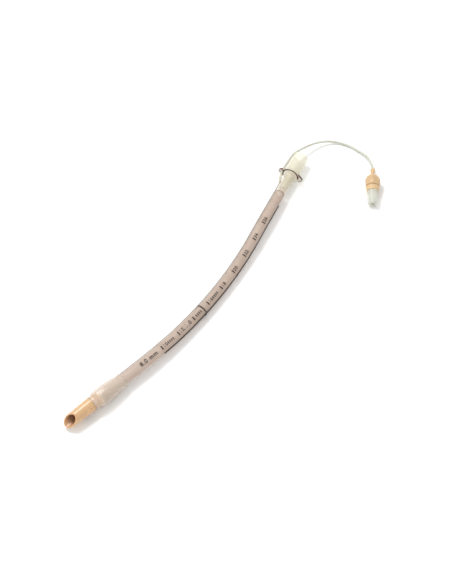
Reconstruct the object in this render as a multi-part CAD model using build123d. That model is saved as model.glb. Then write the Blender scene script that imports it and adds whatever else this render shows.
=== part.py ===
from build123d import *
import os
from math import atan2, cos, degrees, pi, radians, sin, tan

# A wire-reinforced silicone endotracheal tube, 8.0 mm bore, lying at rest on a table.
# Lengths are millimetres and angles are degrees. The connector points along +X,
# +Z is up and the table is at z = 0.

# shaft: the long silicone tube
shaft_bore = 8.0
shaft_wall = 1.5
shaft_radius = shaft_bore / 2 + shaft_wall

# stations along the centre line, counted from the leading edge of the bevelled end
tip_length = 37.0
cuff_start = 27.5
cuff_length = 34.7
port_station = 50.0
coil_start = 40.0
coil_end = 305.0
flange_station = 331.0
flange_thickness = 1.8

# route of the centre line as it lies on the table
first_corner = 89.0
bend_angle = 21.2
bend_corners = 5
bend_spacing = 35.0
lift_run = 37.0
lift_share = 0.3
corner_share = 0.45

# reinforcing coil moulded into the wall
wire_size = 0.36
wire_radius = 4.35
coil_pitch = 2.0
coil_sides = 8

# inflation lumen in the wall, on the tube's left side
lumen_bore = 0.5
lumen_radius = 5.03
port_bore = 0.9

# soft moulded tip
bevel_angle = 45.0
bevel_roll = -13.0
rim_round = 0.45
tip_nose_radius = 5.0
tip_shoulder_radius = 6.0
eye_roll = -135.0
eye_station = 20.5
eye_length = 8.0
eye_width = 5.6

# cuff, a thin balloon bonded over the tip and the shaft
cuff_radius = 8.0
cuff_film = 0.3
cuff_collar = 2.6
cuff_collar_radius = 6.1
cuff_shoulder_radius = 7.2
cuff_shoulder = 4.6
cuff_crown = 14.0
cuff_waist_radius = 6.6
cuff_waist = 29.5
cuff_step = 1.2

# connector with a 15 mm cone, 1 in 40, and two wings
cone_end_diameter = 15.0
cone_length = 24.0
cone_taper = 40.0
cone_lip = 0.6
mouth_bore = 12.4
mouth_depth = 19.0
throat_length = 5.0
nipple_bore = 6.4
nipple_length = 19.0
nipple_clearance = 0.02
nipple_lead = 1.2
hub_radius = 8.4
wing_reach = 12.3
wing_tip_radius = 2.0
wing_roll = 9.5

# inflation line and the sleeve where it enters the shaft
line_diameter = 2.2
line_bore = 1.0
line_gap = 0.1
line_hole_clearance = 0.4
line_entry = 14.0
line_entry_depth = 0.1
line_elbow_distance = 4.0
line_first_free = 9.0
sleeve_wall = 0.45
sleeve_length = 5.0
sleeve_fairing = 8.0
sleeve_fairing_radius = 0.5

# pilot balloon
neck_radius = 2.3
neck_length = 3.6
throat_radius = 1.75
balloon_radius = 7.25
balloon_front = 6.0
balloon_crown = 14.0
balloon_fold = 20.5
balloon_fold_radius = 6.3
balloon_band = 0.2
balloon_length = 26.0
balloon_end_radius = 5.3
balloon_film = 0.7
line_grip = 4.5

# non-return valve in the end of the pilot balloon
valve_radius = 5.1
valve_lip_radius = 4.6
valve_length = 14.0
valve_spigot = 7.0
valve_spigot_radius = 4.4
valve_round = 0.8
chamber_radius = 3.0
seat_depth = 7.4
seat_thickness = 1.4
seat_hole = 1.6
luer_mouth = 4.3
luer_taper = 0.06
retainer_thickness = 1.6
retainer_hole = 0.9
retainer_pitch_radius = 1.9
plunger_head_radius = 2.5
plunger_head = 1.4
plunger_stem = 0.9
plunger_guide = 3.2
plunger_recess = 3.0
seal_thickness = 0.8
seal_radius = 2.3
valve_wire = 0.35
valve_spring_radius = 1.75
valve_spring_turns = 6
valve_spring_sides = 12
face_gap = 0.02

left_of_travel = Vector(0, 0, 1)


def frame_at(origin, travel):
    """A plane across the travel direction: x to the left, y up, z along the travel."""
    return Plane(origin=origin, x_dir=left_of_travel.cross(travel), z_dir=travel)


def turned(roll, radius):
    """A point of the section at a roll counted from up towards the left, in section x, y."""
    return Vector(radius * sin(radians(roll)), radius * cos(radians(roll)))


def corner_radii(points):
    """The arc of each corner, as large as its two runs allow."""
    radii = []
    for before, corner, after in zip(points, points[1:], points[2:]):
        turn = (corner - before).get_angle(after - corner)
        shorter = min((corner - before).length, (after - corner).length)
        radii.append(corner_share * shorter / tan(radians(turn) / 2))
    return radii


def without_straights(points):
    """Drops each corner that does not turn, because it has no arc."""
    kept = [points[0]]
    for corner, after in zip(points[1:], points[2:] + [None]):
        if after is None or (corner - kept[-1]).get_angle(after - corner) > 0.01:
            kept.append(corner)
    return kept


def smooth_route(points):
    corners = without_straights(points)
    return FilletPolyline(*corners, radius=corner_radii(corners))


# the centre line: level under the cuff, down to the table, and up again to the connector
def shaft_corners():
    """Corners of the centre line from the bevelled end to the flange, flange at x = y = 0."""
    cuff_lift = lift_share * (cuff_radius - shaft_radius)
    hub_lift = lift_share * (hub_radius - shaft_radius)
    heights = [cuff_radius, cuff_radius, shaft_radius + cuff_lift]
    heights += [shaft_radius] * (bend_corners - 3)
    heights += [shaft_radius + hub_lift, hub_radius, hub_radius]
    last_run = flange_station - first_corner - bend_spacing * (bend_corners - 1) - lift_run
    runs = [first_corner] + [bend_spacing] * (bend_corners - 1) + [lift_run, last_run]
    heading = -bend_angle
    spot = Vector(0, 0)
    plan = [spot]
    for index, run in enumerate(runs):
        spot += Vector(run, 0).rotate(Axis.Z, heading)
        plan.append(spot)
        if index < bend_corners:
            heading += bend_angle / bend_corners
    return [Vector(p.X - spot.X, p.Y - spot.Y, z) for p, z in zip(plan, heights)]


corners = shaft_corners()
centre_line = smooth_route(corners)
first_run = (corners[1] - corners[0]).normalized()
tip_frame = frame_at(corners[0], first_run)
hub_frame = frame_at(corners[-1], Vector(1, 0, 0))


def station(distance):
    """The section plane of the shaft at a distance from its bevelled end."""
    share = distance / flange_station
    return frame_at(centre_line.position_at(share), centre_line.tangent_at(share))


def shaft_route(start, end):
    """The centre line between two stations that lie on its first and its last run."""
    last_run = (corners[-1] - corners[-2]).normalized()
    points = [corners[0] + first_run * start] + corners[1:-1]
    points.append(corners[-1] - last_run * (flange_station - end))
    kept = without_straights(points)
    return FilletPolyline(*kept, radius=corner_radii(without_straights(corners)))


def swept(outline, route):
    """A section in x, y swept along a route that starts at its section plane."""
    return sweep(frame_at(route @ 0, route % 0) * outline, path=route)


def turned_solid(outline):
    """A solid turned round the section's z axis from an outline in x (radius) and z."""
    return revolve(Plane.XZ * outline, axis=Axis.Z)


def polygon(*points):
    return make_face(Polyline(*points, close=True))


def crowned(near, crown, far):
    """Two arcs that meet in a crown, where the outline runs along the axis."""
    return [TangentArc(crown, near, tangent=(0, -1)), TangentArc(crown, far, tangent=(0, 1))]


def disc(radius, low, high):
    return Pos(0, 0, low) * extrude(Circle(radius), amount=high - low)


# the inflation line's own frame beside the connector
line_side = turned(90 - wing_roll, 1.0)


def beside_connector(distance, offset):
    """A point at a distance past the flange and an offset out along the left wing."""
    return hub_frame.from_local_coords(Vector(line_side.X * offset, line_side.Y * offset, distance))


cone_end = cone_end_diameter / 2
cone_root = cone_end + cone_length / cone_taper / 2
line_radius = line_diameter / 2
line_offset = cone_root + line_gap + line_radius
line_end = beside_connector(-line_entry, shaft_bore / 2 + line_entry_depth + line_radius)
line_elbow = beside_connector(-line_elbow_distance, line_offset)
line_entry_way = (line_elbow - line_end).normalized()
entry_frame = frame_at(line_end, line_entry_way)


def soft_tip():
    """The moulded tip: a bevelled mouth with a rounded rim, an eye, and a shoulder at the cuff."""
    bore = shaft_bore / 2
    body = turned_solid(polygon((bore, 0), (tip_nose_radius, 0), (tip_shoulder_radius, cuff_start),
                                (shaft_radius, cuff_start), (shaft_radius, tip_length), (bore, tip_length)))
    rise = 2 * shaft_radius / tan(radians(bevel_angle))
    reach = 2 * shaft_radius
    wedge = polygon((-shaft_radius, 0), (reach, rise * (reach + shaft_radius) / reach), (reach, -reach),
                    (-shaft_radius, -reach))
    cut = Plane.XZ * wedge
    cut = extrude(cut, amount=reach, both=True)
    body -= Rot(0, 0, 90 - bevel_roll) * cut
    rim = body.edges().filter_by(GeomType.ELLIPSE)
    body = fillet(rim, rim_round)
    eye = Plane.XY * Ellipse(eye_width / 2, eye_length / 2)
    eye = Rot(-90, 0, 0) * extrude(eye, amount=reach)
    eye = Pos(0, 0, eye_station) * Rot(0, 0, -eye_roll) * eye
    return tip_frame * (body - eye)


def shaft_tube():
    """The silicone wall with its bore, its inflation lumen, the cuff port and the line's sleeve."""
    shaft_end = flange_station - flange_thickness
    route = shaft_route(tip_length, shaft_end)
    wall = swept(Circle(shaft_radius), route)
    sleeve_radius = line_radius + sleeve_wall
    fairing = Pos(0, 0, -sleeve_fairing / 2) * Cone(sleeve_fairing_radius, sleeve_radius, sleeve_fairing)
    wall += entry_frame * (disc(sleeve_radius, 0, sleeve_length) + fairing)
    wall -= swept(Circle(shaft_bore / 2), route)
    wall -= entry_frame * disc(line_radius, 0, line_entry)
    lumen_side = turned(90 - wing_roll, lumen_radius)
    lumen = Pos(lumen_side.X, lumen_side.Y) * Circle(lumen_bore / 2)
    wall -= swept(lumen, shaft_route(port_station - port_bore, flange_station - line_entry + sleeve_wall))
    port = Rot(0, 0, wing_roll) * Rot(0, 90, 0) * disc(port_bore / 2, lumen_radius, shaft_radius + sleeve_wall)
    return wall - station(port_station) * port


def wound_wire(points, travels, outwards, size):
    """A square wire through the given points, one flat-sided length from each to the next."""
    half = size / 2
    sections = []
    for point, travel, outward in zip(points, travels, outwards):
        sides = [(half, half), (-half, half), (-half, -half), (half, -half)]
        square = [point + outward * out + travel * along for out, along in sides]
        sections.append(Wire.make_polygon(square, close=True))
    return Solid.make_loft(sections, ruled=True)


def reinforcing_coil():
    """The wire that keeps the tube from kinking, one turn for each pitch along the wall."""
    points, travels, outwards = [], [], []
    steps = round((coil_end - coil_start) / coil_pitch * coil_sides)
    for step in range(steps + 1):
        plane = station(coil_start + (coil_end - coil_start) * step / steps)
        angle = 2 * pi * step / coil_sides
        outward = plane.x_dir * cos(angle) + plane.y_dir * sin(angle)
        points.append(plane.origin + outward * wire_radius)
        travels.append(plane.z_dir)
        outwards.append(outward)
    return wound_wire(points, travels, outwards, wire_size)


def cuff():
    """The thin balloon, with a collar at each end that is bonded to the tube."""
    inner = shaft_radius
    crown_inner = cuff_radius - cuff_film
    collar_end = cuff_length - cuff_collar
    outer = crowned((cuff_shoulder_radius, cuff_shoulder), (cuff_radius, cuff_crown),
                    (cuff_waist_radius, cuff_waist))
    hollow = crowned((cuff_shoulder_radius - cuff_film, cuff_shoulder + cuff_step), (crown_inner, cuff_crown),
                     (cuff_waist_radius - cuff_film, cuff_waist - cuff_step))
    near = Polyline((cuff_shoulder_radius, cuff_shoulder), (cuff_collar_radius, 0), (inner, 0),
                    (inner, cuff_collar), (cuff_shoulder_radius - cuff_film, cuff_shoulder + cuff_step))
    far = Polyline((cuff_waist_radius, cuff_waist), (cuff_collar_radius, cuff_length), (inner, cuff_length),
                   (inner, collar_end), (cuff_waist_radius - cuff_film, cuff_waist - cuff_step))
    film = turned_solid(make_face(outer + near.edges() + hollow + far.edges()))
    return tip_frame * Pos(0, 0, cuff_start) * film


def wing_outline():
    """The flange's outline: a round hub drawn out to two small round wing tips."""
    tips = [Pos(side * (wing_reach - wing_tip_radius), 0) * Circle(wing_tip_radius) for side in (-1, 1)]
    edges = Circle(hub_radius).edges() + tips[0].edges() + tips[1].edges()
    return Rot(0, 0, wing_roll) * make_hull(edges)


def connector():
    """The 15 mm connector: cone, winged flange with the line's hole, and the nipple in the bore."""
    nipple_radius = shaft_bore / 2 - nipple_clearance
    nipple_end = -flange_thickness - nipple_length
    nipple_shoulder = nipple_end + nipple_lead
    mouth_floor = cone_length - mouth_depth
    profile = polygon((nipple_bore / 2, nipple_end), (nipple_radius - wire_size, nipple_end),
                      (nipple_radius, nipple_shoulder), (nipple_radius, -flange_thickness),
                      (cone_root, -flange_thickness), (cone_root, 0), (cone_end, cone_length - cone_lip),
                      (cone_end - cone_lip, cone_length), (mouth_bore / 2, cone_length),
                      (mouth_bore / 2, mouth_floor), (nipple_bore / 2, mouth_floor - throat_length))
    body = turned_solid(profile)
    flange = Pos(0, 0, -flange_thickness) * extrude(wing_outline(), amount=flange_thickness)
    flange -= disc(cone_end - cone_lip, -flange_thickness, 0)
    hole = disc(line_radius + line_hole_clearance, -flange_thickness, 0)
    side = line_side * line_offset
    return hub_frame * (body + flange - Pos(side.X, side.Y) * hole)


# the free line's corners, beside the connector and then round over the table to the balloon
neck_start = Vector(38.7, -67.1, balloon_radius)
balloon_heading = -158.3
balloon_pitch = degrees(atan2(balloon_radius - valve_lip_radius,
                              balloon_length + valve_length - balloon_crown))
balloon_way = Vector(cos(radians(balloon_pitch)), 0, -sin(radians(balloon_pitch))).rotate(Axis.Z, balloon_heading)


def line_corners():
    neck_height = balloon_radius + balloon_crown * sin(radians(balloon_pitch))
    neck = Vector(neck_start.X, neck_start.Y, neck_height)
    falling = [Vector(17.5, 10.2, 6.2), Vector(25.5, 10.6, 2.6)]
    on_table = [(32.5, 8.6), (40.6, 4.8), (48.8, -0.3), (54.8, -6.5), (59.3, -13.1), (62.2, -20.5),
                (63.7, -28.7), (63.2, -37.5), (60.3, -47.3)]
    rising = [Vector(56.2, -55.0, 3.5)]
    free = falling + [Vector(*spot, line_radius) for spot in on_table] + rising
    beside = beside_connector(line_first_free, line_offset)
    ends = [neck - balloon_way * line_grip, neck + balloon_way * line_grip]
    return [line_end, line_elbow, beside] + free + ends


line_points = line_corners()
neck_spot = line_points[-1] - balloon_way * line_grip
pilot_frame = frame_at(neck_spot, balloon_way)
valve_frame = frame_at(neck_spot + balloon_way * balloon_length, balloon_way)


def inflation_line():
    route = smooth_route(line_points)
    return swept(Circle(line_radius), route)


def pilot_balloon():
    """The small bulb that shows the cuff's pressure, gripping the line and the valve."""
    film = balloon_film
    grip = balloon_length - valve_spigot
    front = balloon_front + 2 * film
    crown = (balloon_radius, balloon_crown)
    fold = (balloon_fold_radius, balloon_fold)
    band = (balloon_fold_radius + balloon_band, (balloon_fold + balloon_length) / 2)
    skin = crowned((throat_radius, balloon_front), crown, fold)
    skin.append(ThreePointArc(fold, band, (balloon_end_radius, balloon_length)))
    neck = Polyline((throat_radius, balloon_front), (neck_radius, neck_length), (neck_radius, 0), (0, 0),
                    (0, balloon_length), (balloon_end_radius, balloon_length))
    solid = turned_solid(make_face(skin + neck.edges()))
    inner = crowned((throat_radius, front), (balloon_radius - film, balloon_crown), (valve_spigot_radius, grip))
    core = Polyline((throat_radius, front), (0, front), (0, grip), (valve_spigot_radius, grip))
    solid -= turned_solid(make_face(inner + core.edges()))
    solid -= disc(valve_spigot_radius, grip, balloon_length)
    solid -= disc(line_radius, 0, line_grip)
    solid -= disc(line_bore / 2, 0, balloon_crown)
    return pilot_frame * solid


def valve_body():
    """The valve's barrel: a spigot in the balloon, a spring chamber, a seat and the luer mouth."""
    luer_depth = valve_length - seat_depth - seat_thickness
    luer_floor = (luer_mouth - luer_taper * luer_depth) / 2
    seat_top = seat_depth + seat_thickness
    profile = polygon((chamber_radius, -valve_spigot), (valve_spigot_radius, -valve_spigot),
                      (valve_spigot_radius, 0), (valve_radius, 0), (valve_lip_radius, valve_length),
                      (luer_mouth / 2, valve_length), (luer_floor, seat_top), (seat_hole, seat_top),
                      (seat_hole, seat_depth), (chamber_radius, seat_depth))
    body = turned_solid(profile)
    lip = body.edges().group_by(Axis.Z)[-1].sort_by(SortBy.RADIUS)[-1]
    return valve_frame * fillet(lip, valve_round)


def valve_retainer():
    """The vented plug that holds the spring in the barrel."""
    plug = disc(chamber_radius - face_gap, -valve_spigot, -valve_spigot + retainer_thickness)
    for hole in PolarLocations(retainer_pitch_radius, 4):
        plug -= hole * disc(retainer_hole / 2, -valve_spigot, -valve_spigot + retainer_thickness)
    return valve_frame * plug


def valve_seal():
    """The soft washer that closes the hole in the seat."""
    low = seat_depth - face_gap - seal_thickness
    ring = disc(seal_radius, low, seat_depth - face_gap)
    return valve_frame * (ring - disc(plunger_stem + face_gap, low, seat_depth))


def plunger_head_low():
    return seat_depth - face_gap - seal_thickness - plunger_head


def valve_plunger():
    """The stem that a syringe pushes in, with the head that carries the seal."""
    low = plunger_head_low()
    stem = disc(plunger_stem, low - plunger_guide, valve_length - plunger_recess)
    return valve_frame * (stem + disc(plunger_head_radius, low, low + plunger_head))


def valve_spring():
    """The spring under the plunger's head, as a wire wound round the stem."""
    half = valve_wire / 2 + face_gap
    low = -valve_spigot + retainer_thickness + half
    high = plunger_head_low() - half
    points, travels, outwards = [], [], []
    steps = valve_spring_turns * valve_spring_sides
    for step in range(steps + 1):
        angle = 2 * pi * step / valve_spring_sides
        outward = valve_frame.x_dir * cos(angle) + valve_frame.y_dir * sin(angle)
        along = low + (high - low) * step / steps
        points.append(valve_frame.origin + valve_frame.z_dir * along + outward * valve_spring_radius)
        travels.append(valve_frame.z_dir)
        outwards.append(outward)
    return wound_wire(points, travels, outwards, valve_wire)


body_pieces = {
    "soft_tip": soft_tip(),
    "shaft_tube": shaft_tube(),
    "reinforcing_coil": reinforcing_coil(),
    "cuff": cuff(),
    "connector": connector(),
}
line_pieces = {
    "inflation_line": inflation_line(),
    "pilot_balloon": pilot_balloon(),
    "valve_body": valve_body(),
    "valve_retainer": valve_retainer(),
    "valve_spring": valve_spring(),
    "valve_seal": valve_seal(),
    "valve_plunger": valve_plunger(),
}

# the origin is under the middle of the tube itself, at the table
box = Compound(children=[Compound(piece.solids()) for piece in body_pieces.values()]).bounding_box()
to_origin = Pos(-(box.min.X + box.max.X) / 2, -(box.min.Y + box.max.Y) / 2, -box.min.Z)

os.makedirs("parts", exist_ok=True)
for name, piece in (body_pieces | line_pieces).items():
    export_step(to_origin * piece, f"parts/{name}.step")

for label, spot in [("flange", corners[-1]), ("line exit", line_end), ("valve mouth", valve_frame.origin)]:
    print(label, to_origin * Pos(*spot))
print("valve direction", valve_frame.z_dir)
print("line points", [tuple(round(c, 2) for c in to_origin.position + p) for p in line_points])
print("line radii", [round(r, 1) for r in corner_radii(without_straights(line_points))])
print("shaft radii", [round(r, 1) for r in corner_radii(without_straights(corners))])
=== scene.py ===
# %% [markdown]
# # A wire-reinforced endotracheal tube
# This lesson dresses a ready CAD model: a soft silicone tube with a wire coil in its wall, a
# bevelled soft tip, a thin cuff, a clear connector with two wings, and a thin inflation line that
# ends in a small pilot balloon with a valve. The CAD model is loaded first and stays as it is, and
# every new piece is modelled right where the CAD piece lies. Blender counts in metres, so sizes are
# written in millimetres and multiplied by MM.

# %% Load the CAD model
import math

import bpy
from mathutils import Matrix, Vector


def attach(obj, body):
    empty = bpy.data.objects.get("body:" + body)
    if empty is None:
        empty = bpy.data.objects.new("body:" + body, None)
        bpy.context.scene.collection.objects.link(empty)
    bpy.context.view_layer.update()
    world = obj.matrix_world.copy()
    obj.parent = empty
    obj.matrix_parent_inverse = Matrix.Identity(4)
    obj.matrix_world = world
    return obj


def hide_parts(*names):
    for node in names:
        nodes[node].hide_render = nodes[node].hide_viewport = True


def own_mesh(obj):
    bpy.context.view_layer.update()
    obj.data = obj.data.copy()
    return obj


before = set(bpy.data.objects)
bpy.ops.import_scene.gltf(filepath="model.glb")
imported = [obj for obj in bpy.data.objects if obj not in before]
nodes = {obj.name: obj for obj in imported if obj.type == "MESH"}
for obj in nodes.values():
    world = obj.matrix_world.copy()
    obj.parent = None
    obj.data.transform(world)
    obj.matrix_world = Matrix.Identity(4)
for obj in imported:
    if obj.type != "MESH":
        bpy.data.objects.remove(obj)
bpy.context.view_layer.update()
MM = 0.001
print("CAD pieces:", sorted(nodes))

# %% [markdown]
# ## Camera
# The camera looks down at the table from the side of the tube's tip. Its place and its lens were
# found by matching the marks on the tube, which are 20 mm apart, so it sees the piece at the true
# angle. A Track To constraint could aim it, but the two angles are kept as numbers, because they
# are what a photographer would change.

# %% The camera
CAMERA_SPOT = Vector((-505.96, -267.36, 793.23)) * MM
CAMERA_TILT = 35.50
CAMERA_TURN = -64.63
LENS = 68.48

bpy.ops.object.camera_add(location=CAMERA_SPOT)
camera = bpy.context.object
camera.rotation_euler = (math.radians(CAMERA_TILT), 0, math.radians(CAMERA_TURN))
camera.data.lens = LENS
bpy.context.scene.camera = camera
print("camera:", round(CAMERA_SPOT.length, 3), "m from the middle, lens", LENS, "mm")

# %% [markdown]
# ## Helpers for materials
# Each finish starts from one Principled shader. Clouds of noise let its colour and its gloss drift
# a little, so no surface is one flat colour, and a bump from a finer noise gives it some grain. A
# painted picture could do that too, but noise needs no picture and no unwrapping. It reads Object
# coordinates, which are metres here, so its scale is about the number of clouds in a metre.

# %% Noise and ramps
NOISE_DETAIL = 3.0


def place_of(tree):
    """The point on the piece, in metres."""
    return tree.nodes.new("ShaderNodeTexCoord").outputs["Object"]


def noise_of(tree, scale):
    noise = tree.nodes.new("ShaderNodeTexNoise")
    noise.inputs["Scale"].default_value = scale
    noise.inputs["Detail"].default_value = NOISE_DETAIL
    tree.links.new(place_of(tree), noise.inputs["Vector"])
    return noise.outputs["Fac"]


def ramp_of(tree, source, low, high, start=0.3, end=0.7):
    ramp = tree.nodes.new("ShaderNodeValToRGB")
    ramp.color_ramp.elements[0].position = start
    ramp.color_ramp.elements[1].position = end
    ramp.color_ramp.elements[0].color = (*low, 1)
    ramp.color_ramp.elements[1].color = (*high, 1)
    tree.links.new(source, ramp.inputs["Fac"])
    return ramp.outputs["Color"]


# %% A material with a little life in it
GRAIN_HEIGHT = 0.2


def shader_of(material):
    return material.node_tree.nodes["Principled BSDF"]


def finish(name, low, high, gloss, grain=90, bump=0.05, bump_scale=900, **values):
    """A material whose colour drifts from low to high and whose roughness drifts by gloss."""
    material = bpy.data.materials.new(name)
    material.use_nodes = True
    tree, shader = material.node_tree, shader_of(material)
    cloud = noise_of(tree, grain)
    tree.links.new(ramp_of(tree, cloud, low, high), shader.inputs["Base Color"])
    smooth, rough = ((value,) * 3 for value in gloss)
    tree.links.new(ramp_of(tree, cloud, smooth, rough), shader.inputs["Roughness"])
    if bump:
        relief = tree.nodes.new("ShaderNodeBump")
        relief.inputs["Strength"].default_value = bump
        relief.inputs["Distance"].default_value = GRAIN_HEIGHT * MM
        tree.links.new(noise_of(tree, bump_scale), relief.inputs["Height"])
        tree.links.new(relief.outputs["Normal"], shader.inputs["Normal"])
    for socket, value in values.items():
        shader.inputs[socket.replace("_", " ")].default_value = value
    return material


def paint(piece, material):
    piece.data.materials.clear()
    piece.data.materials.append(material)


# %% [markdown]
# ## Table and light
# The piece lies on a plain white table under soft studio light. One square lamp at the upper left
# throws soft shadows to the lower right, and the white world fills them. A ring of lamps could give
# the same light, but the world gives it evenly with two values. The table lies a hair below zero,
# so the bottom of the piece doesn't flicker in it.

# %% The table
TABLE_WIDTH = 6
TABLE_DROP = 0.3

bpy.context.scene.view_settings.view_transform = "Standard"
bpy.ops.mesh.primitive_plane_add(size=TABLE_WIDTH, location=(0, 0, -TABLE_DROP * MM))
table = bpy.context.object
table.name = "table"
paint(table, finish("table_white", (0.93, 0.93, 0.93), (0.96, 0.96, 0.96), (0.6, 0.7),
                    grain=3, bump=0))
print("table:", TABLE_WIDTH, "m wide")

# %% The world and the lamp
WORLD_WHITE = (1, 0.995, 0.985, 1)
WORLD_STRENGTH = 0.88
LAMP_SPOT = Vector((0.22, 0.50, 1.05))
LAMP_AIM = Vector((0, -0.02, 0))
LAMP_WIDTH = 0.30
LAMP_POWER = 7

world = bpy.data.worlds.new("studio")
bpy.context.scene.world = world
world.use_nodes = True
world.node_tree.nodes["Background"].inputs["Color"].default_value = WORLD_WHITE
world.node_tree.nodes["Background"].inputs["Strength"].default_value = WORLD_STRENGTH

bpy.ops.object.light_add(type="AREA", location=LAMP_SPOT)
lamp = bpy.context.object
lamp.data.size = LAMP_WIDTH
lamp.data.energy = LAMP_POWER
lamp.rotation_euler = (LAMP_AIM - LAMP_SPOT).to_track_quat("-Z", "Y").to_euler()
print("lamp:", LAMP_POWER, "W,", round((LAMP_AIM - LAMP_SPOT).length, 2), "m away")

# %% [markdown]
# ## Helpers for thin soft pieces
# The cuff and the pilot balloon are thin bags of silicone, moulded round an axis. A cloth
# simulation could blow them up and let them sink again, but they are small and keep the shape of
# their mould. So they are made as by hand: a circle is extruded along the axis again and again, and
# each new ring is scaled. A subdivision surface then rounds the steps as moulding does, and a
# Displace modifier with a cloud pattern presses in the soft creases of an empty bag.

# %% Choose a piece and make its changes final
def choose(piece):
    bpy.ops.object.select_all(action="DESELECT")
    piece.select_set(True)
    bpy.context.view_layer.objects.active = piece


def settle(piece):
    """Makes the piece's place, turn and scale a part of its mesh."""
    choose(piece)
    bpy.ops.object.transform_apply(location=True, rotation=True, scale=True)


def apply_all(piece):
    choose(piece)
    for modifier in list(piece.modifiers):
        bpy.ops.object.modifier_apply(modifier=modifier.name)


# %% Rings that become a smooth skin
QUARTER_TURN = (0, math.pi / 2, 0)
RING_POINTS = 48
ROUNDING_LEVELS = 2


def ring_stack(name, rings, closed):
    """Rings along X, each (place, radius) in millimetres, joined to one smooth skin."""
    bpy.ops.object.select_all(action="DESELECT")
    first_place, first_radius = rings[0]
    bpy.ops.mesh.primitive_circle_add(vertices=RING_POINTS, radius=first_radius * MM,
                                      fill_type="NGON" if closed else "NOTHING",
                                      rotation=QUARTER_TURN, location=(first_place * MM, 0, 0))
    piece = bpy.context.object
    piece.name = name
    settle(piece)
    bpy.ops.object.mode_set(mode="EDIT")
    bpy.ops.mesh.select_all(action="SELECT")
    for (place, radius), (next_place, next_radius) in zip(rings, rings[1:]):
        bpy.ops.mesh.extrude_region_move(
            TRANSFORM_OT_translate={"value": ((next_place - place) * MM, 0, 0)})
        ratio = next_radius / radius
        bpy.ops.transform.resize(value=(1, ratio, ratio), center_override=(next_place * MM, 0, 0))
    bpy.ops.mesh.select_all(action="SELECT")
    bpy.ops.mesh.normals_make_consistent(inside=False)
    bpy.ops.object.mode_set(mode="OBJECT")
    bpy.ops.object.shade_smooth()
    rounding = piece.modifiers.new("rounding", "SUBSURF")
    rounding.levels = rounding.render_levels = ROUNDING_LEVELS
    apply_all(piece)
    return piece


# %% Creases
def crease(piece, size, depth, stretch):
    """Presses creases in; the piece is squeezed along X meanwhile, so they come out stretched."""
    piece.scale = (1 / stretch, 1, 1)
    settle(piece)
    cloud = bpy.data.textures.new("soft_creases", "CLOUDS")
    cloud.noise_scale = size * MM
    press = piece.modifiers.new("creases", "DISPLACE")
    press.texture = cloud
    press.texture_coords = "LOCAL"
    press.mid_level = 1.0
    press.strength = depth * MM
    apply_all(piece)
    piece.scale = (stretch, 1, 1)
    settle(piece)


# %% [markdown]
# ## Pilot balloon
# The balloon shows by its swelling whether the cuff is filled. It is a soft moulded bag with a
# narrow neck for the line at one end and a thicker welded band round the valve at the other. A
# metaball or a scaled sphere could give a bag, but rings give the neck, the bag and the band in one
# outline. It is built along X, given a few soft dents, and then turned and moved to its place.

# %% The balloon's shape
BALLOON_NECK = Vector((187.250, -91.575, 8.670))
BALLOON_WAY = Vector((-0.92434, -0.36784, -0.1014))
BALLOON_RINGS = [
    (0, 1.2), (0, 2.25), (0.3, 2.3), (3.3, 2.3), (4.6, 2.0), (6.0, 1.8), (6.6, 2.3), (7.6, 3.9),
    (9.4, 5.6), (11.5, 6.8), (13.5, 7.25), (15.5, 7.2), (17.5, 6.95), (19.3, 6.55), (20.2, 6.2),
    (20.4, 5.95), (20.6, 6.3), (21.0, 6.45), (23.2, 6.05), (25.3, 5.6), (25.9, 5.4), (26, 4.7),
]


def move_to(piece, spot, way):
    """Turns a piece that was built along X to another way, and moves it to its spot."""
    piece.rotation_euler = way.to_track_quat("X", "Z").to_euler()
    piece.location = spot * MM
    settle(piece)


balloon = ring_stack("balloon_bag", BALLOON_RINGS, closed=True)
crease(balloon, size=3.0, depth=0.35, stretch=1.6)
move_to(balloon, BALLOON_NECK, BALLOON_WAY)
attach(balloon, "tube")
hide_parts("pilot_balloon")
print("balloon faces:", len(balloon.data.polygons))

# %% [markdown]
# ## The balloon's silicone and its weld
# The bag is amber silicone that lets a little light in, so it has some subsurface scattering. A
# dark seam runs round it where the band is welded on. It could be a thin ring of its own, but it
# stands no higher than the skin, so it is a colour. Maths nodes find it: they measure how far along
# the balloon each point lies, and give 1 near the weld and 0 elsewhere.

# %% Nodes that measure, and a colour on top
def maths(tree, kind, *values):
    """One Math node; a value is a number or another node's output."""
    node = tree.nodes.new("ShaderNodeMath")
    node.operation = kind
    for socket, value in zip(node.inputs, values):
        if isinstance(value, (int, float)):
            socket.default_value = value
        else:
            tree.links.new(value, socket)
    return node.outputs["Value"]


def vector_maths(tree, kind, vector, other):
    """One Vector Math node between another node's output and a fixed vector."""
    node = tree.nodes.new("ShaderNodeVectorMath")
    node.operation = kind
    tree.links.new(vector, node.inputs[0])
    node.inputs[1].default_value = tuple(other)
    return node.outputs["Value" if kind == "DOT_PRODUCT" else "Vector"]


def laid_over(material, mask, colour):
    """Lays one more colour over the finish where the mask is 1."""
    tree = material.node_tree
    base = shader_of(material).inputs["Base Color"]
    mix = tree.nodes.new("ShaderNodeMixRGB")
    mix.inputs["Color2"].default_value = (*colour, 1)
    tree.links.new(base.links[0].from_socket, mix.inputs["Color1"])
    tree.links.new(mask, mix.inputs["Fac"])
    tree.links.new(mix.outputs["Color"], base)


# %% The balloon's finish
WELD_STATION = 20.4
WELD_HALF_WIDTH = 0.5
WELD_STRENGTH = 0.8
WELD_BROWN = (0.26, 0.12, 0.05)

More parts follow.
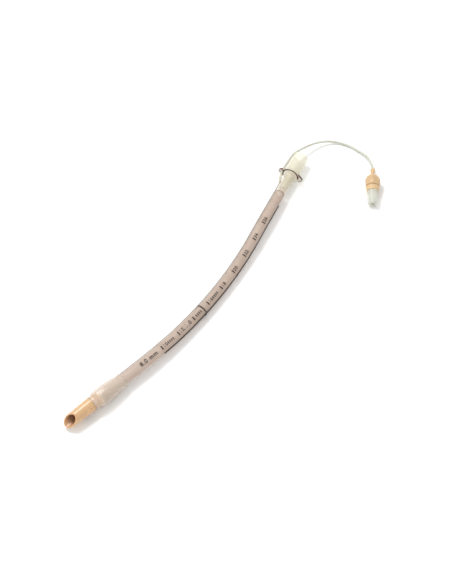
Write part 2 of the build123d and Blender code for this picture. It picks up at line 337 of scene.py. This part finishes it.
balloon_skin = finish("balloon_silicone", (0.56, 0.38, 0.20), (0.68, 0.49, 0.28), (0.38, 0.5),
                      grain=160, bump=0.15, bump_scale=1400, Subsurface_Weight=0.4,
                      Subsurface_Scale=0.003, Subsurface_Radius=(1.0, 0.5, 0.3))
tree = balloon_skin.node_tree
from_neck = vector_maths(tree, "SUBTRACT", place_of(tree), BALLOON_NECK * MM)
along = vector_maths(tree, "DOT_PRODUCT", from_neck, BALLOON_WAY)
weld = maths(tree, "COMPARE", along, WELD_STATION * MM, WELD_HALF_WIDTH * MM)
laid_over(balloon_skin, maths(tree, "MULTIPLY", weld, WELD_STRENGTH), WELD_BROWN)
paint(balloon, balloon_skin)
print("weld:", WELD_STATION, "mm from the balloon's neck")

# %% [markdown]
# ## Valve spring
# Inside the valve a small steel spring pushes the plunger shut. A Screw modifier could wind it from
# a circle, but a curve with a round bevel says its start, end and pitch more plainly. It is turned
# into a mesh in the end. The same helper winds the wire of the tube later. The spring gets shorter
# when the plunger is pressed.

# %% A wound wire
def linked(name, data):
    piece = bpy.data.objects.new(name, data)
    bpy.context.scene.collection.objects.link(piece)
    bpy.context.view_layer.update()
    return piece


def helix_piece(name, start, end, pitch, radius, wire, steps):
    """A wire wound round X from start to end, with so many steps in each turn."""
    line = bpy.data.curves.new(name, "CURVE")
    line.dimensions = "3D"
    line.bevel_depth = wire * MM
    line.bevel_resolution = 1
    line.use_fill_caps = True
    count = round((end - start) / pitch * steps)
    spline = line.splines.new("POLY")
    spline.points.add(count)
    for step, point in enumerate(spline.points):
        angle = 2 * math.pi * step / steps
        spot = Vector((start + (end - start) * step / count, radius * math.cos(angle),
                       radius * math.sin(angle))) * MM
        point.co = (*spot, 1)
    helix = linked(name + "_line", line)
    mesh = bpy.data.meshes.new_from_object(helix)
    bpy.data.objects.remove(helix)
    mesh.name = name
    for face in mesh.polygons:
        face.use_smooth = True
    return linked(name, mesh)


# %% The spring
VALVE_MOUTH_WAY = BALLOON_WAY
VALVE_FOOT = Vector((163.217, -101.138, 6.033))
SPRING_LOW, SPRING_HIGH = -5.205, 4.985
SPRING_TURNS = 6
SPRING_RADIUS = 1.75
SPRING_WIRE = 0.175
WIRE_STEPS = 16

spring = helix_piece("valve_coil_spring", SPRING_LOW, SPRING_HIGH,
                     (SPRING_HIGH - SPRING_LOW) / SPRING_TURNS, SPRING_RADIUS, SPRING_WIRE,
                     WIRE_STEPS)
move_to(spring, VALVE_FOOT, VALVE_MOUTH_WAY)
paint(spring, finish("spring_steel", (0.55, 0.55, 0.55), (0.65, 0.65, 0.65), (0.2, 0.3),
                     bump=0, Metallic=1.0))
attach(spring, "tube")
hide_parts("valve_spring")
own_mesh(spring)

# %% [markdown]
# ## Inflation line
# The line is a thin silicone hose. It leaves the sleeve beside the connector, passes the notch in
# the wing, sinks to the table and curves round to the pilot balloon. Bezier handles could shape it
# too, but a NURBS curve with a round bevel is right for it, because one smooth line is bent by a
# few control points.

# %% The hose
LINE_POINTS = [
    (134.550, -19.346, 9.258), (144.550, -15.598, 9.885), (151.500, -15.550, 10.300),
    (159.500, -16.900, 12.500), (167.000, -17.100, 12.800), (175.000, -18.700, 11.200),
    (183.550, -22.020, 9.000), (193.400, -26.580, 7.000), (201.300, -32.130, 5.000),
    (207.200, -38.240, 3.200), (210.900, -45.200, 1.800), (212.250, -53.175, 1.100),
    (211.750, -61.975, 1.100), (208.850, -71.775, 1.100), (204.750, -79.475, 3.500),
    (191.409, -89.919, 9.126), (183.090, -93.230, 8.213),
]
LINE_RADIUS = 1.1
LINE_ORDER = 3
LINE_STEPS = 12
LINE_ROUNDNESS = 4

curve = bpy.data.curves.new("inflation_hose", "CURVE")
curve.dimensions = "3D"
curve.resolution_u = LINE_STEPS
curve.bevel_depth = LINE_RADIUS * MM
curve.bevel_resolution = LINE_ROUNDNESS
curve.use_fill_caps = True
spline = curve.splines.new("NURBS")
spline.points.add(len(LINE_POINTS) - 1)
for point, spot in zip(spline.points, LINE_POINTS):
    point.co = (*(Vector(spot) * MM), 1)
spline.order_u = LINE_ORDER
spline.use_endpoint_u = True
hose = linked("inflation_hose", curve)
print("hose:", len(LINE_POINTS), "control points, spline",
      round(spline.calc_length() / MM, 1), "mm long")

# %% The hose's silicone and what it carries
paint(hose, finish("hose_silicone", (0.62, 0.64, 0.55), (0.70, 0.72, 0.63), (0.4, 0.5),
                   Transmission_Weight=0.2, IOR=1.42, Subsurface_Weight=0.2,
                   Subsurface_Scale=0.002))
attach(hose, "tube")
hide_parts("inflation_line")
print("hose material:", hose.data.materials[0].name)

# %% [markdown]
# ## The tube's own line
# Wire, cuff and print follow the bent tube. They are easiest to model straight, along X, with the
# tip at zero, and to bend afterwards with a Curve modifier. They could be built bent at once, but
# then every mark would need its own place and turn. The curve is a Bezier line with an arc at each
# corner of the tube's route. The modifier spreads a piece by the curve's points, so the line is
# then cut into short equal steps, and a mark comes out at its true distance from the tip.

# %% The route of the tube
TUBE_CORNERS = [
    (-173.567, 33.375, 8.0), (-90.590, 1.191, 8.0), (-57.113, -9.019, 6.25),
    (-22.972, -16.726, 5.5), (11.646, -21.887, 5.5), (46.550, -24.475, 6.37),
    (83.550, -24.475, 8.4), (148.550, -24.475, 8.4),
]
ARC_SHARE = 0.45
ARC_STEPS = 24


def tube_route():
    """A Bezier curve through the tube's corners, each rounded by an arc."""
    corners = [Vector(spot) * MM for spot in TUBE_CORNERS]
    spots, handles = [corners[0]], []
    for before, corner, after in zip(corners, corners[1:], corners[2:]):
        way_in, way_out = (corner - before), (after - corner)
        reach = ARC_SHARE * min(way_in.length, way_out.length)
        turn = way_in.angle(way_out)
        handles.append(4 / 3 * math.tan(turn / 4) * reach / math.tan(turn / 2))
        spots += [corner - way_in.normalized() * reach, corner + way_out.normalized() * reach]
    spots.append(corners[-1])
    line = bpy.data.curves.new("tube_route", "CURVE")
    line.dimensions = "3D"
    line.resolution_u = ARC_STEPS
    bezier = line.splines.new("BEZIER")
    bezier.bezier_points.add(len(spots) - 1)
    knots = bezier.bezier_points
    for knot, spot in zip(knots, spots):
        knot.co = spot
        knot.handle_left_type = knot.handle_right_type = "FREE"
        knot.handle_left = knot.handle_right = spot
    for number, (one, two) in enumerate(zip(knots, knots[1:])):
        if number % 2 == 0:
            one.handle_right = one.co.lerp(two.co, 1 / 3)
            two.handle_left = one.co.lerp(two.co, 2 / 3)
        else:
            corner, handle = corners[number // 2 + 1], handles[number // 2]
            one.handle_right = one.co + (corner - one.co).normalized() * handle
            two.handle_left = two.co + (corner - two.co).normalized() * handle
    return linked("tube_route", line)


# %% Even steps along it
ROUTE_STEP = 0.5


def even_route(rounded):
    """The same line as short equal steps."""
    mesh = bpy.data.meshes.new_from_object(rounded)
    spots = [vertex.co.copy() for vertex in mesh.vertices]
    bpy.data.meshes.remove(mesh)
    bpy.data.objects.remove(rounded)
    runs = [(b - a).length for a, b in zip(spots, spots[1:])]
    count = round(sum(runs) / (ROUTE_STEP * MM))
    gap = sum(runs) / count
    even, walked, run = [spots[0]], 0.0, 0
    for number in range(1, count):
        while walked + runs[run] < number * gap:
            walked += runs[run]
            run += 1
        even.append(spots[run].lerp(spots[run + 1], (number * gap - walked) / runs[run]))
    even.append(spots[-1])
    line = bpy.data.curves.new("tube_line", "CURVE")
    line.dimensions = "3D"
    line.twist_mode = "Z_UP"
    path = line.splines.new("POLY")
    path.points.add(len(even) - 1)
    for point, spot in zip(path.points, even):
        point.co = (*spot, 1)
    print("tube line:", round(sum(runs) / MM, 2), "mm in", count, "steps")
    return linked("tube_line", line)


def bend_to_tube(piece):
    """Bends a straight piece along the tube's route."""
    modifier = piece.modifiers.new("route", "CURVE")
    modifier.object = route
    modifier.deform_axis = "POS_X"
    apply_all(piece)


route = even_route(tube_route())

# %% [markdown]
# ## Wire coil
# Inside the wall a thin steel wire winds round the bore and keeps the tube from kinking. It shows
# through the silicone as fine ribs. A striped bump could hint at it, but the real wire also throws
# shadows and ends at a clear line. So it is one long helix, made straight with the spring's helper
# and then bent along the route. Its last turns lie close together, which shows as a dark band.

# %% The wire coil
COIL_WIRE = 0.2
COIL_RADIUS = 4.35
COIL_PITCH = 2.0
COIL_START, COIL_END = 40.0, 305.0
CLOSED_START, CLOSED_END = COIL_END - 1.4, COIL_END + 0.4
CLOSED_PITCH = 0.45


def joined(name, pieces):
    choose(pieces[0])
    for piece in pieces:
        piece.select_set(True)
    bpy.ops.object.join()
    pieces[0].name = name
    pieces[0].data.name = name
    return pieces[0]


open_turns = helix_piece("armour_wire", COIL_START, COIL_END, COIL_PITCH, COIL_RADIUS, COIL_WIRE,
                         WIRE_STEPS)
closed_turns = helix_piece("closed_turns", CLOSED_START, CLOSED_END, CLOSED_PITCH, COIL_RADIUS,
                           COIL_WIRE, WIRE_STEPS)
wire = joined("armour_wire", [open_turns, closed_turns])
bend_to_tube(wire)
paint(wire, finish("wire_steel", (0.07, 0.04, 0.032), (0.11, 0.065, 0.05), (0.4, 0.5), bump=0))
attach(wire, "tube")
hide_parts("reinforcing_coil")
print("wire triangles:", sum(len(face.vertices) - 2 for face in wire.data.polygons))

# %% [markdown]
# ## Cuff
# The cuff is a thin film bag bonded to the tube by a collar at each end. It is filled with air in
# use and lies nearly empty here, with long faint creases. Like the balloon it could be simulated,
# but a stack of rings keeps its collars round. The rings get their creases, a thin wall by a
# Solidify modifier, and the bend of the tube. The film is drawn see-through by its opacity, which
# is quicker than bent light and keeps the tube visible inside.

# %% The cuff's shape
CUFF_START = 27.5
CUFF_FILM = 0.25
CUFF_RINGS = [
    (0.0, 5.85), (0.1, 6.1), (1.2, 6.12), (2.5, 6.1), (3.2, 6.4), (4.4, 7.1), (6.0, 7.45),
    (9.0, 7.8), (12.0, 7.97), (14.5, 8.0), (18.0, 7.85), (21.5, 7.5), (25.0, 7.1), (28.0, 6.75),
    (30.0, 6.5), (32.0, 6.2), (33.5, 6.12), (34.6, 6.1), (34.7, 5.85),
]


def thicken(piece, wall, side):
    """Gives a skin its wall, outwards where side is 1 and inwards where it is -1."""
    film = piece.modifiers.new("wall", "SOLIDIFY")
    film.thickness = wall * MM
    film.offset = side
    apply_all(piece)


cuff_rings = [(CUFF_START + place, radius) for place, radius in CUFF_RINGS]
cuff = ring_stack("cuff_bag", cuff_rings, closed=False)
crease(cuff, size=1.6, depth=0.3, stretch=8)
thicken(cuff, CUFF_FILM, side=-1)
bend_to_tube(cuff)
print("cuff faces:", len(cuff.data.polygons))

# %% The cuff's film
paint(cuff, finish("cuff_film", (0.76, 0.63, 0.50), (0.90, 0.79, 0.67), (0.26, 0.38), grain=200,
                   bump=0.2, bump_scale=700, IOR=1.41, Alpha=0.32, Specular_IOR_Level=1.0,
                   Coat_Weight=1.0, Coat_Roughness=0.2))
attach(cuff, "tube")
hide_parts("cuff")
print("cuff material:", cuff.data.materials[0].name)

# %% [markdown]
# ## Printed marks
# Dark print on the tube gives the depth in centimetres from the tip: a short bar and a number each
# 20 mm, a ring, the tube's size, and one long line. A grey line on the other side follows the narrow
# air channel in the wall, which shows through the silicone, and is also painted shade: it darkens
# the tube's edge on that side, where the clear wall bends the light. A picture on the surface could
# carry the marks, but thin pieces stay sharp at any distance. Each mark is modelled flat over the
# top of a straight former, shrink-wrapped onto it, given a thin skin, rolled round and bent.

# %% The former and the wrapping
TUBE_RADIUS = 5.5
PRINT_GAP = 0.13
PRINT_SKIN = 0.06
FORMER_LENGTH = 800
FORMER_MIDDLE = 200
FORMER_SIDES = 192

bpy.ops.mesh.primitive_cylinder_add(vertices=FORMER_SIDES,
                                    radius=(TUBE_RADIUS + PRINT_GAP) * MM,
                                    depth=FORMER_LENGTH * MM, rotation=QUARTER_TURN,
                                    location=(FORMER_MIDDLE * MM, 0, 0))
former = bpy.context.object
former.name = "print_former"
settle(former)


def wrap_print(piece, roll):
    """Wraps a flat mesh onto the former, rolls it round the tube (left is positive) and bends it."""
    shrink = piece.modifiers.new("wrap", "SHRINKWRAP")
    shrink.target = former
    shrink.wrap_method = "PROJECT"
    shrink.use_project_z = True
    shrink.use_negative_direction = True
    shrink.use_positive_direction = False
    thicken(piece, PRINT_SKIN, side=1)
    piece.rotation_euler = (-math.radians(roll), 0, 0)
    settle(piece)
    bend_to_tube(piece)


print("former radius:", round(TUBE_RADIUS + PRINT_GAP, 2), "mm")

# %% Flat strips and flat words
FLAT_HEIGHT = 10
CAPITAL_SHARE = 0.7
LETTER_WEIGHT = 0.1
LETTER_SPACING = 1.2
LETTER_STEPS = 3


def flat_grid(name, start, end, width, cells):
    """A flat strip over the former between two stations, with (long, wide) cells to bend."""
    bpy.ops.mesh.primitive_grid_add(x_subdivisions=cells[0], y_subdivisions=cells[1], size=1,
                                    location=((start + end) / 2 * MM, 0, FLAT_HEIGHT * MM))
    strip = bpy.context.object
    strip.name = name
    strip.scale = ((end - start) * MM, width * MM, 1)
    settle(strip)
    return strip


def flat_text(name, words, start, height):
    """Plain numbers over the former, reading away from the tip."""
    bpy.ops.object.text_add(location=(0, 0, 0))
    text = bpy.context.object
    text.name = name
    text.data.body = words
    text.data.size = height / CAPITAL_SHARE * MM
    text.data.align_y = "CENTER"
    text.data.offset = LETTER_WEIGHT * MM
    text.data.space_character = LETTER_SPACING
    text.data.resolution_u = LETTER_STEPS
    bpy.ops.object.convert(target="MESH")
    piece = bpy.context.object
    piece.location = (start * MM, 0, FLAT_HEIGHT * MM)
    settle(piece)
    return piece


# %% The depth marks
PRINT_ROLL = -22.0
CENTIMETRE = 10
DEPTHS = range(10, 27, 2)
DEPTH_WITHOUT_NUMBER = 14
FIRST_MARK = 3.5
BAR_LENGTH = 1.3
BAR_WIDTH = 3.8
BAR_CELLS = (2, 8)
NUMBER_GAP = 1.6
NUMBER_HEIGHT = 3.0

bars, numbers = [], []
for depth in DEPTHS:
    station = FIRST_MARK + depth * CENTIMETRE
    bar = flat_grid("bar", station - BAR_LENGTH / 2, station + BAR_LENGTH / 2, BAR_WIDTH,
                    BAR_CELLS)
    wrap_print(bar, PRINT_ROLL)
    bars.append(bar)
    if depth != DEPTH_WITHOUT_NUMBER:
        number = flat_text("number", str(depth), station + NUMBER_GAP, NUMBER_HEIGHT)
        wrap_print(number, PRINT_ROLL)
        numbers.append(number)
print("depth marks:", len(bars), "bars,", len(numbers), "numbers")

# %% The ticks and the sizes
TICK_ROWS = (111, 147, 171)
TICKS_IN_A_ROW = 4
TICK_PITCH = 2
TICK_LENGTH = 0.9
TICK_WIDTH = 2.4
TICK_CELLS = (2, 6)
SIZE_WORDS = ((79, "8.0 mm"), (129, "11.0"))
SIZE_HEIGHT = 3.7

for row in TICK_ROWS:
    for place in range(TICKS_IN_A_ROW):
        station = row + place * TICK_PITCH
        tick = flat_grid("tick", station - TICK_LENGTH / 2, station + TICK_LENGTH / 2,
                         TICK_WIDTH, TICK_CELLS)
        wrap_print(tick, PRINT_ROLL)
        bars.append(tick)
for start, words in SIZE_WORDS:
    size = flat_text("size", words, start, SIZE_HEIGHT)
    wrap_print(size, PRINT_ROLL)
    numbers.append(size)
depth_bars = joined("depth_bars", bars)
depth_numbers = joined("depth_numbers", numbers)
print("print faces:", len(depth_bars.data.polygons), "and", len(depth_numbers.data.polygons))

# %% The long lines
GUIDE_ROLL = -80.0
GUIDE_START, GUIDE_END = 103, 290
GUIDE_WIDTH = 1.8
GUIDE_CELLS = (186, 6)
LUMEN_SHADE_ROLL = 48.0
LUMEN_SHADE_START, LUMEN_SHADE_END = 62, 316
LUMEN_SHADE_WIDTH = 1.6
LUMEN_SHADE_CELLS = (254, 4)

guide = flat_grid("guide_line", GUIDE_START, GUIDE_END, GUIDE_WIDTH, GUIDE_CELLS)
wrap_print(guide, GUIDE_ROLL)

# Painted shade along the air channel: a grey line that darkens the tube's edge where the clear wall
# bends the light.
lumen_and_edge_shade = flat_grid("lumen_line", LUMEN_SHADE_START, LUMEN_SHADE_END, LUMEN_SHADE_WIDTH, LUMEN_SHADE_CELLS)
wrap_print(lumen_and_edge_shade, LUMEN_SHADE_ROLL)
paint(lumen_and_edge_shade, finish("lumen_edge_shade_grey", (0.16, 0.145, 0.125), (0.22, 0.20, 0.175), (0.4, 0.5), bump=0))
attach(lumen_and_edge_shade, "tube")
print("lines:", GUIDE_END - GUIDE_START, "and", LUMEN_SHADE_END - LUMEN_SHADE_START, "mm long")

# %% The ring and the ink
RING_STATION = 156.5
RING_WIDTH = 1.3
RING_SIDES = 96

bpy.ops.mesh.primitive_cylinder_add(vertices=RING_SIDES,
                                    radius=(TUBE_RADIUS + PRINT_GAP) * MM,
                                    depth=RING_WIDTH * MM, end_fill_type="NOTHING",
                                    rotation=QUARTER_TURN, location=(RING_STATION * MM, 0, 0))
ring = bpy.context.object
ring.name = "ring_mark"
settle(ring)
thicken(ring, PRINT_SKIN, side=1)
bend_to_tube(ring)

ink = finish("print_ink", (0.022, 0.012, 0.009), (0.035, 0.02, 0.014), (0.6, 0.75), bump=0)
for mark in (depth_bars, depth_numbers, guide, ring):
    paint(mark, ink)
    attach(mark, "tube")
print("ring faces:", len(ring.data.polygons))

# %% [markdown]
# ## The tube's silicone
# The CAD pieces keep their shapes and get their finish here. The tube is clear pinkish silicone
# that looks wet and smooth. Glass with bent light could draw it, but the wire inside would get
# lost, so it is drawn see-through by its opacity, with a glossy coat. Past the coil's end the wall
# has no wire in it and looks yellower and clearer, which one mask along X says.

# %% The tube's finish
COIL_EDGE = 122.8
CLEAR_YELLOW = (0.86, 0.76, 0.60)
TUBE_OPACITY = 0.42
OPACITY_DROP = 0.20


def split(tree, vector):
    """The three coordinates of a vector, each on its own."""
    node = tree.nodes.new("ShaderNodeSeparateXYZ")
    tree.links.new(vector, node.inputs["Vector"])
    return node.outputs["X"], node.outputs["Y"], node.outputs["Z"]


def set_opacity(material, mask, gain, base):
    """The base opacity, and the gain on top where the mask is 1."""
    tree = material.node_tree
    opacity = maths(tree, "MULTIPLY_ADD", mask, gain, base)
    tree.links.new(opacity, shader_of(material).inputs["Alpha"])


tube_skin = finish("tube_silicone", (0.73, 0.56, 0.45), (0.81, 0.65, 0.53), (0.16, 0.24),
                   bump=0.04, IOR=1.41, Specular_IOR_Level=1.0, Coat_Weight=1.0,
                   Coat_Roughness=0.12)
tree = tube_skin.node_tree
x, _, _ = split(tree, place_of(tree))
past_coil = maths(tree, "GREATER_THAN", x, COIL_EDGE * MM)
laid_over(tube_skin, past_coil, CLEAR_YELLOW)
set_opacity(tube_skin, past_coil, -OPACITY_DROP, TUBE_OPACITY)
paint(nodes["shaft_tube"], tube_skin)
print("tube opacity:", TUBE_OPACITY, "and", round(TUBE_OPACITY - OPACITY_DROP, 2))

# %% [markdown]
# ## The soft tip
# The tip is softer silicone, amber and a little milky. Its open end looks deep red-brown, because
# little light reaches the bore and that light has passed through much silicone; this dark red-brown
# is painted shade. The bore could be painted by picking its faces, but the change is soft, so two
# ramps draw it: one by the distance from the tube's axis and one by the depth from the very end. A
# Mapping node first turns the coordinates, so that the tip's axis lies along X.

# %% The tip's finish
TIP_END, TIP_NEXT = (Vector(spot) for spot in TUBE_CORNERS[:2])
TIP_TURN = math.atan2(TIP_END.y - TIP_NEXT.y, TIP_NEXT.x - TIP_END.x)
BORE_RADIUS, BORE_FADE = 3.8, 4.3
DEPTH_START, DEPTH_FULL = 3.5, 8.5
EDGE_SHARE = 0.25
BORE_SHADE_RED = (0.14, 0.02, 0.012)
RAMP_LENGTH = 10


def from_axis(tree, y, z):
    """The distance from the X axis."""
    squares = [maths(tree, "MULTIPLY", value, value) for value in (y, z)]
    return maths(tree, "SQRT", maths(tree, "ADD", *squares))


def fade(tree, distance, start, end, low, high):
    """Runs from low to high between two distances in millimetres, up to RAMP_LENGTH."""
    share = maths(tree, "DIVIDE", distance, RAMP_LENGTH * MM)
    return ramp_of(tree, share, (low,) * 3, (high,) * 3, start / RAMP_LENGTH, end / RAMP_LENGTH)


tip_skin = finish("tip_silicone", (0.60, 0.38, 0.20), (0.72, 0.48, 0.27), (0.22, 0.34),
                  bump=0.08, Subsurface_Weight=0.4, Subsurface_Scale=0.003,
                  Subsurface_Radius=(1.0, 0.45, 0.25))
tree = tip_skin.node_tree
turned = tree.nodes.new("ShaderNodeMapping")
turned.inputs["Rotation"].default_value = (0, 0, TIP_TURN)
tree.links.new(vector_maths(tree, "SUBTRACT", place_of(tree), TIP_END * MM),
               turned.inputs["Vector"])
x, y, z = split(tree, turned.outputs["Vector"])
bore = fade(tree, from_axis(tree, y, z), BORE_RADIUS, BORE_FADE, 1, 0)
deep = fade(tree, x, DEPTH_START, DEPTH_FULL, EDGE_SHARE, 1)
# Painted shade: the bore is darkened to deep red-brown, more so deeper inside than at the very end.
laid_over(tip_skin, maths(tree, "MULTIPLY", bore, deep), BORE_SHADE_RED)
paint(nodes["soft_tip"], tip_skin)
print("tip's turn:", round(math.degrees(TIP_TURN), 1), "degrees")

# %% [markdown]
# ## The clear connector
# The connector is clear, slightly yellow plastic with two wings. Its edges bend the light away and
# show as dark red-brown strokes: along the upper rims of the wings, and round the hub on the
# flange's front face. Bent light in glass would need far more samples to show them, so each stroke
# is painted shade, a dark tint. Masks find them by their place from the flange's middle and by the
# way the face looks, and where they are, the plastic is nearly opaque.

# %% Masks on the flange
FLANGE_MIDDLE = Vector((147.65, -24.475, 8.4))
FLANGE_HALF = 1.15
WING_START = 7.8
HUB_RADIUS, HUB_HALF_WIDTH = 7.6, 0.8
HUB_BOTTOM = -1.9
SIDE_LIMIT = 0.6
UP_LIMIT = 0.25


def product(tree, first, *others):
    """1 only where all the masks are 1."""
    for mask in others:
        first = maths(tree, "MULTIPLY", first, mask)
    return first


def flange_strokes(tree):
    """Painted shade where edges bend the light away: the upper rims of the wings, and the hub ring.
    """
    x, y, z = split(tree, vector_maths(tree, "SUBTRACT", place_of(tree), FLANGE_MIDDLE * MM))
    surface = tree.nodes.new("ShaderNodeNewGeometry")
    ahead, _, up = split(tree, surface.outputs["Normal"])
    at_flange = maths(tree, "COMPARE", x, 0.0, FLANGE_HALF * MM)
    sideways = maths(tree, "LESS_THAN", maths(tree, "ABSOLUTE", ahead), SIDE_LIMIT)
    upward = maths(tree, "GREATER_THAN", up, UP_LIMIT)
    on_wing = maths(tree, "GREATER_THAN", maths(tree, "ABSOLUTE", y), WING_START * MM)
    wing_rim = product(tree, sideways, at_flange, upward, on_wing)
    forward = maths(tree, "LESS_THAN", ahead, -SIDE_LIMIT)
    on_hub = maths(tree, "COMPARE", from_axis(tree, y, z), HUB_RADIUS * MM, HUB_HALF_WIDTH * MM)
    above = maths(tree, "GREATER_THAN", z, HUB_BOTTOM * MM)
    hub_ring = product(tree, forward, at_flange, on_hub, above)
    return maths(tree, "MAXIMUM", wing_rim, hub_ring)


# %% The connector's finish
STROKE_SHADE_RED = (0.08, 0.006, 0.004)
CONNECTOR_OPACITY = 0.38
STROKE_SHADE_OPACITY = 0.6

connector_clear = finish("connector_clear", (0.78, 0.74, 0.57), (0.86, 0.83, 0.68), (0.06, 0.12),
                         bump=0, IOR=1.5, Specular_IOR_Level=0.5, Coat_Weight=0.25,
                         Coat_Roughness=0.05)
shade_stroke = flange_strokes(connector_clear.node_tree)
# Painted shade: dark red-brown where the connector's edges bend the light away.
laid_over(connector_clear, shade_stroke, STROKE_SHADE_RED)
set_opacity(connector_clear, shade_stroke, STROKE_SHADE_OPACITY, CONNECTOR_OPACITY)
paint(nodes["connector"], connector_clear)
print("connector nodes:", len(connector_clear.node_tree.nodes))

# %% [markdown]
# ## The valve
# The valve's barrel is milky plastic, with a white vented plug and plunger inside and a soft grey
# washer. They are small and half hidden, so plain finishes without a pattern of their own are
# enough, and the barrel lets its inside shimmer through by its opacity.

# %% The valve's finishes
paint(nodes["valve_body"], finish("valve_milky", (0.74, 0.75, 0.66), (0.82, 0.83, 0.75),
                                  (0.25, 0.35), bump=0, IOR=1.49, Alpha=0.6))
valve_white = finish("valve_white", (0.80, 0.82, 0.80), (0.86, 0.88, 0.86), (0.3, 0.4))
paint(nodes["valve_retainer"], valve_white)
paint(nodes["valve_plunger"], valve_white)
paint(nodes["valve_seal"], finish("seal_rubber", (0.25, 0.25, 0.25), (0.3, 0.3, 0.3),
                                  (0.5, 0.6)))
for name in ("valve_body", "valve_retainer", "valve_plunger", "valve_seal"):
    print(name, "is painted with", nodes[name].data.materials[0].name)

# %% Finish
for helper in (route, former):
    bpy.data.objects.remove(helper)
